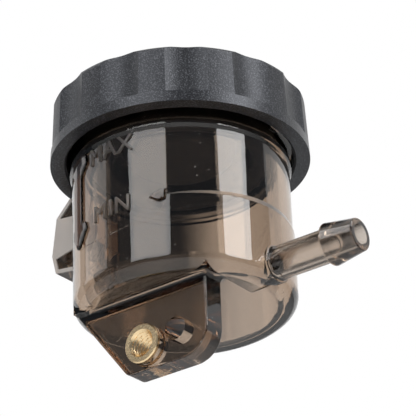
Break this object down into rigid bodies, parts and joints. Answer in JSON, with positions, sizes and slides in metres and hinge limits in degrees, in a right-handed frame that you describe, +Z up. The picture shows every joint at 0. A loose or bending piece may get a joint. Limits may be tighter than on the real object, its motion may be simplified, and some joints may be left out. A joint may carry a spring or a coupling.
{
  "type": "brake fluid reservoir",
  "caption": "Small round brake fluid reservoir: clear moulded cup with a side hose nozzle, a drilled mounting plate below and a scalloped screw cap.",
  "frame": {"origin": "on the axis of the brass threaded insert, in the front face of the mounting plate", "axes": "+Z up along the cup's axis towards the cap, +X along the hose nozzle, the mounting plate faces -Y"},
  "size_m": [0.0819, 0.06, 0.0709],
  "materials": {
    "smoke_plastic": "clear smoke-tinted moulding, glossy",
    "brass": "turned brass",
    "black_rubber": "moulded black rubber, satin",
    "white_plastic": "moulded natural plastic",
    "black_plastic": "spark-eroded black moulding"
  },
  "bodies": {
    "cup": {"reservoir_cup": "smoke_plastic", "threaded_insert": "brass"},
    "ring": {"thrust_ring": "white_plastic", "diaphragm": "black_rubber"},
    "cap": {"screw_cap": "black_plastic"}
  },
  "joints": [
    {"name": "cap_lift", "type": "slide", "parent": "cup", "child": "ring", "axis": [0, 0, 1], "range_m": [0, 0.0161]},
    {"name": "cap_turn", "type": "hinge", "parent": "ring", "child": "cap", "pos_m": [0, 0.0155, 0.05], "axis": [0, 0, 1], "range_deg": [0, 1440]}
  ],
  "couplings": [
    {"joint": "cap_lift", "follows": "cap_turn", "m_per_rad": 0.00063662}
  ]
}
